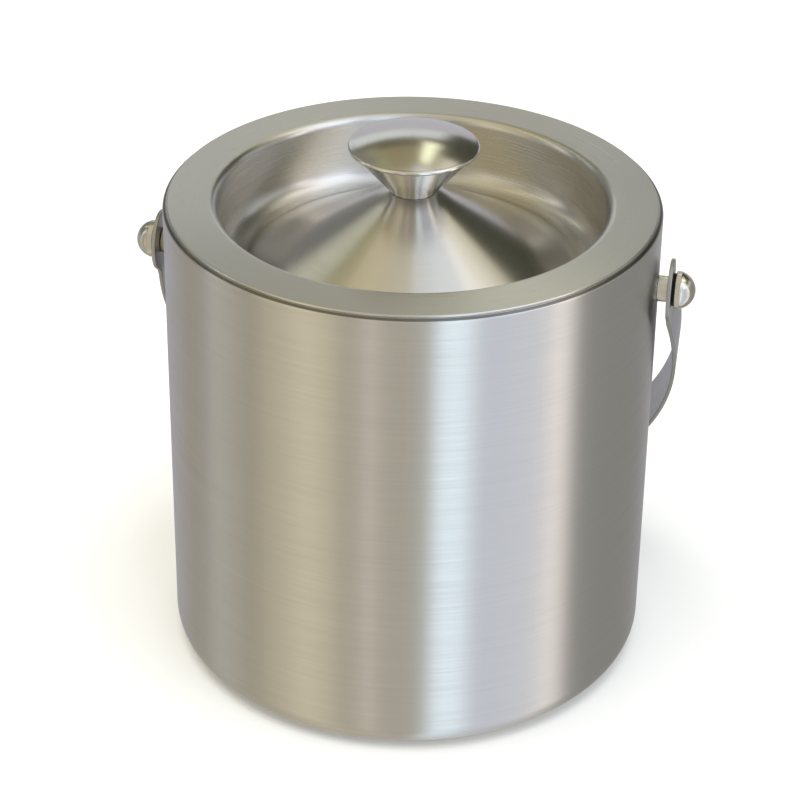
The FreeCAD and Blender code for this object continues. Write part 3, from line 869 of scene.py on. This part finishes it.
@dataclass
class Studio:
    """Pale floor, soft panels all round and the camera."""

    floor_colour: str = "#f4f4f3"
    floor_radius: float = 6.0
    floor_sides: int = 128
    floor_roughness: float = 0.9
    floor_gloss: float = 0.1
    lamp_size: float = 2.6
    lamp_watts: float = 44.0
    lamp_place: tuple[float, float, float] = (-0.3, -0.2, 2.2)
    # azimuth from the front, elevation and roll, in degrees
    camera_turn: tuple[float, float, float] = (10.31, 30.75, 0.79)
    camera_place: tuple[float, float, float] = (0.15443, -0.87069, 0.62734)
    # focal length and sensor width are in millimetres
    camera_lens: float = 116.49
    camera_sensor: float = 36.0
    camera_reach: float = 50.0
    backdrop: str = "#ffffff"
    base: str = "#c7c4ba"
    panels: tuple[Panel, ...] = (
        # far side: a pale wall, a dark shelf, then a dim warm ceiling
        Panel(180, 190, -40, 17, "#c8c8d0", 1.0, 6),
        Panel(180, 190, 17, 28, "#ecf1f3", 1.0, 4),
        Panel(238, 64, 20, 32, "#f3f7f9", 1.0, 5),
        Panel(180, 170, 28, 39, "#6c6950", 1.0, 3),
        Panel(180, 170, 39, 62, "#a29776", 1.0, 4),
        Panel(227, 45, 34, 62, "#aaaa86", 1.0, 5),
        # overhead: cool on the right, warm on the left
        Panel(100, 180, 58, 100, "#f9fdff", 1.0, 6),
        Panel(-80, 180, 62, 100, "#e1dbc5", 1.0, 6),
        Panel(-85, 34, 46, 76, "#eddaa6", 1.0, 6),
        # right side: a black doorway, bright roof lights over it
        Panel(156, 50, 16, 45, "#4b4b3f", 1.0, 4),
        Panel(148, 52, 46, 62, "#f3f1dd", 1.0, 3),
        Panel(93, 24, 52, 80, "#dfecff", 1.9, 5),
        Panel(113, 17, 46, 66, "#fffaf6", 2.5, 4),
        # lamp on the far side
        Panel(183, 6, 33, 54, "#fcffde", 1.85, 3),
        # right side, low
        Panel(120, 62, -90, 15, "#a0a09e", 1.0, 6),
        # left side: a dark door and thin bright edges
        Panel(-122, 56, 0, 50, "#868684", 1.0, 8),
        Panel(-108, 24, -90, 0, "#bcb5a6", 1.0, 8),
        Panel(-121, 6, 26, 52, "#ffffe4", 1.8, 3),
        Panel(-86, 4, -60, 18, "#f9f7ef", 1.0, 2),
        Panel(-87, 5, 18, 60, "#fffcec", 1.9, 2),
        # front left, warm
        Panel(-64, 12, -90, 60, "#b5ad9b", 1.0, 5),
        Panel(-40, 40, -90, 60, "#e5dec7", 1.0, 10),
        Panel(-38, 13, -90, 60, "#fdf6dd", 1.0, 6),
        Panel(-20, 5, -90, 60, "#bcb6a6", 1.0, 5),
        # front
        Panel(-2, 34, -90, 60, "#cdc7bc", 1.0, 8),
        Panel(-8, 6, -90, 60, "#faf3ea", 1.0, 4),
        # front right: a window, a cool wall and a warm strip
        Panel(57, 44, -90, 62, "#e8efff", 1.02, 6),
        Panel(64, 26, 24, 62, "#e8f1ff", 2.1, 4),
        Panel(30, 17, -90, 62, "#e1f1ff", 1.8, 7),
        Panel(81, 10, -90, 60, "#fff9f7", 1.85, 4),
    )

    def floor(self) -> None:
        """Lay the floor, lit but left out of the steel's reflections."""
        mesh = bmesh.new()
        bmesh.ops.create_circle(mesh, cap_ends=True, segments=self.floor_sides,
                                radius=self.floor_radius)
        data = bpy.data.meshes.new("floor")
        mesh.to_mesh(data)
        mesh.free()
        ground = bpy.data.objects.new("floor", data)
        bpy.context.scene.collection.objects.link(ground)
        paper = bpy.data.materials.new("matt white paper")
        paper.use_nodes = True
        shader = paper.node_tree.nodes["Principled BSDF"]
        shader.inputs["Base Color"].default_value = linear(self.floor_colour)
        shader.inputs["Roughness"].default_value = self.floor_roughness
        shader.inputs["Specular IOR Level"].default_value = self.floor_gloss
        data.materials.append(paper)
        ground.visible_glossy = False
        ground.visible_shadow = False

    def lamp(self) -> None:
        """Hang a large soft lamp over the floor, kept out of the reflections."""
        light = bpy.data.lights.new("overhead", "AREA")
        light.shape = "DISK"
        light.size = self.lamp_size
        light.energy = self.lamp_watts
        lamp = bpy.data.objects.new("overhead", light)
        lamp.location = self.lamp_place
        lamp.visible_glossy = False
        lamp.visible_camera = False
        bpy.context.scene.collection.objects.link(lamp)

    def surroundings(self) -> None:
        """Paint the panels into the world by direction, and show the camera a plain backdrop."""
        world = bpy.data.worlds.new("studio")
        bpy.context.scene.world = world
        world.use_nodes = True
        tree = world.node_tree
        tree.nodes.clear()
        way = add(tree, "ShaderNodeTexCoord", {}).outputs["Object"]
        axes = add(tree, "ShaderNodeSeparateXYZ", {0: way})
        behind = add(tree, "ShaderNodeMath", {0: axes.outputs["Y"], 1: -1.0}, operation="MULTIPLY")
        azimuth = add(tree, "ShaderNodeMath", {0: axes.outputs["X"], 1: behind.outputs[0]},
                      operation="ARCTAN2")
        elevation = add(tree, "ShaderNodeMath", {0: axes.outputs["Z"]}, operation="ARCSINE")
        mixed = add(tree, "ShaderNodeRGB", {}).outputs[0]
        mixed.default_value = linear(self.base)
        for panel in self.panels:
            turned = add(tree, "ShaderNodeMath",
                         {0: azimuth.outputs[0], 1: math.radians(panel.azimuth)},
                         operation="SUBTRACT")
            wrapped = add(tree, "ShaderNodeMath", {0: turned.outputs[0], 1: math.pi, 2: -math.pi},
                          operation="WRAP")
            aside = add(tree, "ShaderNodeMath", {0: wrapped.outputs[0]}, operation="ABSOLUTE")
            middle = math.radians((panel.low + panel.high) / 2)
            lifted = add(tree, "ShaderNodeMath", {0: elevation.outputs[0], 1: middle},
                         operation="SUBTRACT")
            above = add(tree, "ShaderNodeMath", {0: lifted.outputs[0]}, operation="ABSOLUTE")
            spans = ((aside, panel.width / 2), (above, (panel.high - panel.low) / 2))
            inside = [add(tree, "ShaderNodeMapRange",
                          {"Value": part.outputs[0],
                           "From Min": math.radians(reach + panel.soft / 2),
                           "From Max": math.radians(reach - panel.soft / 2)},
                          interpolation_type="SMOOTHSTEP") for part, reach in spans]
            share = add(tree, "ShaderNodeMath", {0: inside[0].outputs[0], 1: inside[1].outputs[0]},
                        operation="MULTIPLY")
            colour = [c * panel.strength for c in linear(panel.colour)[:3]] + [1.0]
            mixed = add(tree, "ShaderNodeMix", {0: share.outputs[0], 6: mixed, 7: colour},
                        data_type="RGBA").outputs[2]
        seen = add(tree, "ShaderNodeLightPath", {}).outputs["Is Camera Ray"]
        shown = add(tree, "ShaderNodeMix", {0: seen, 6: mixed, 7: linear(self.backdrop)},
                    data_type="RGBA").outputs[2]
        light = add(tree, "ShaderNodeBackground", {"Color": shown, "Strength": 1.0})
        add(tree, "ShaderNodeOutputWorld", {"Surface": light.outputs[0]})

    def camera(self) -> None:
        """Stand the camera in front, a little to the right and looking down."""
        azimuth, elevation, roll = (math.radians(angle) for angle in self.camera_turn)
        right = Vector((math.cos(azimuth), math.sin(azimuth), 0))
        back = Vector((math.sin(azimuth) * math.cos(elevation),
                       -math.cos(azimuth) * math.cos(elevation), math.sin(elevation)))
        up = back.cross(right)
        tilted = right * math.cos(roll) + up * math.sin(roll)
        upward = up * math.cos(roll) - right * math.sin(roll)
        lens = bpy.data.cameras.new("camera")
        lens.lens = self.camera_lens
        lens.sensor_width = self.camera_sensor
        lens.clip_end = self.camera_reach
        camera = bpy.data.objects.new("camera", lens)
        pose = Matrix((tilted, upward, back)).transposed().to_4x4()
        pose.translation = self.camera_place
        camera.matrix_world = pose
        bpy.context.scene.collection.objects.link(camera)
        bpy.context.scene.camera = camera

    def build(self) -> None:
        """Set up the studio."""
        self.floor()
        self.lamp()
        self.surroundings()
        self.camera()
        bpy.context.scene.view_settings.view_transform = "Standard"


def main() -> None:
    """Build the bucket, the lid, the bail and the studio."""
    logging.basicConfig(level=logging.INFO, format="%(name)s: %(message)s")
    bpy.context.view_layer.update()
    Bucket().build()
    Lid().build()
    nickel, dark = NICKEL.material(), SHADE_DARK_WASHER.material()
    for side in Side:
        Pivot(side).build(nickel, dark)
    Bail().build()
    HiddenParts().build()
    Studio().build()


if __name__ == "__main__":
    main()
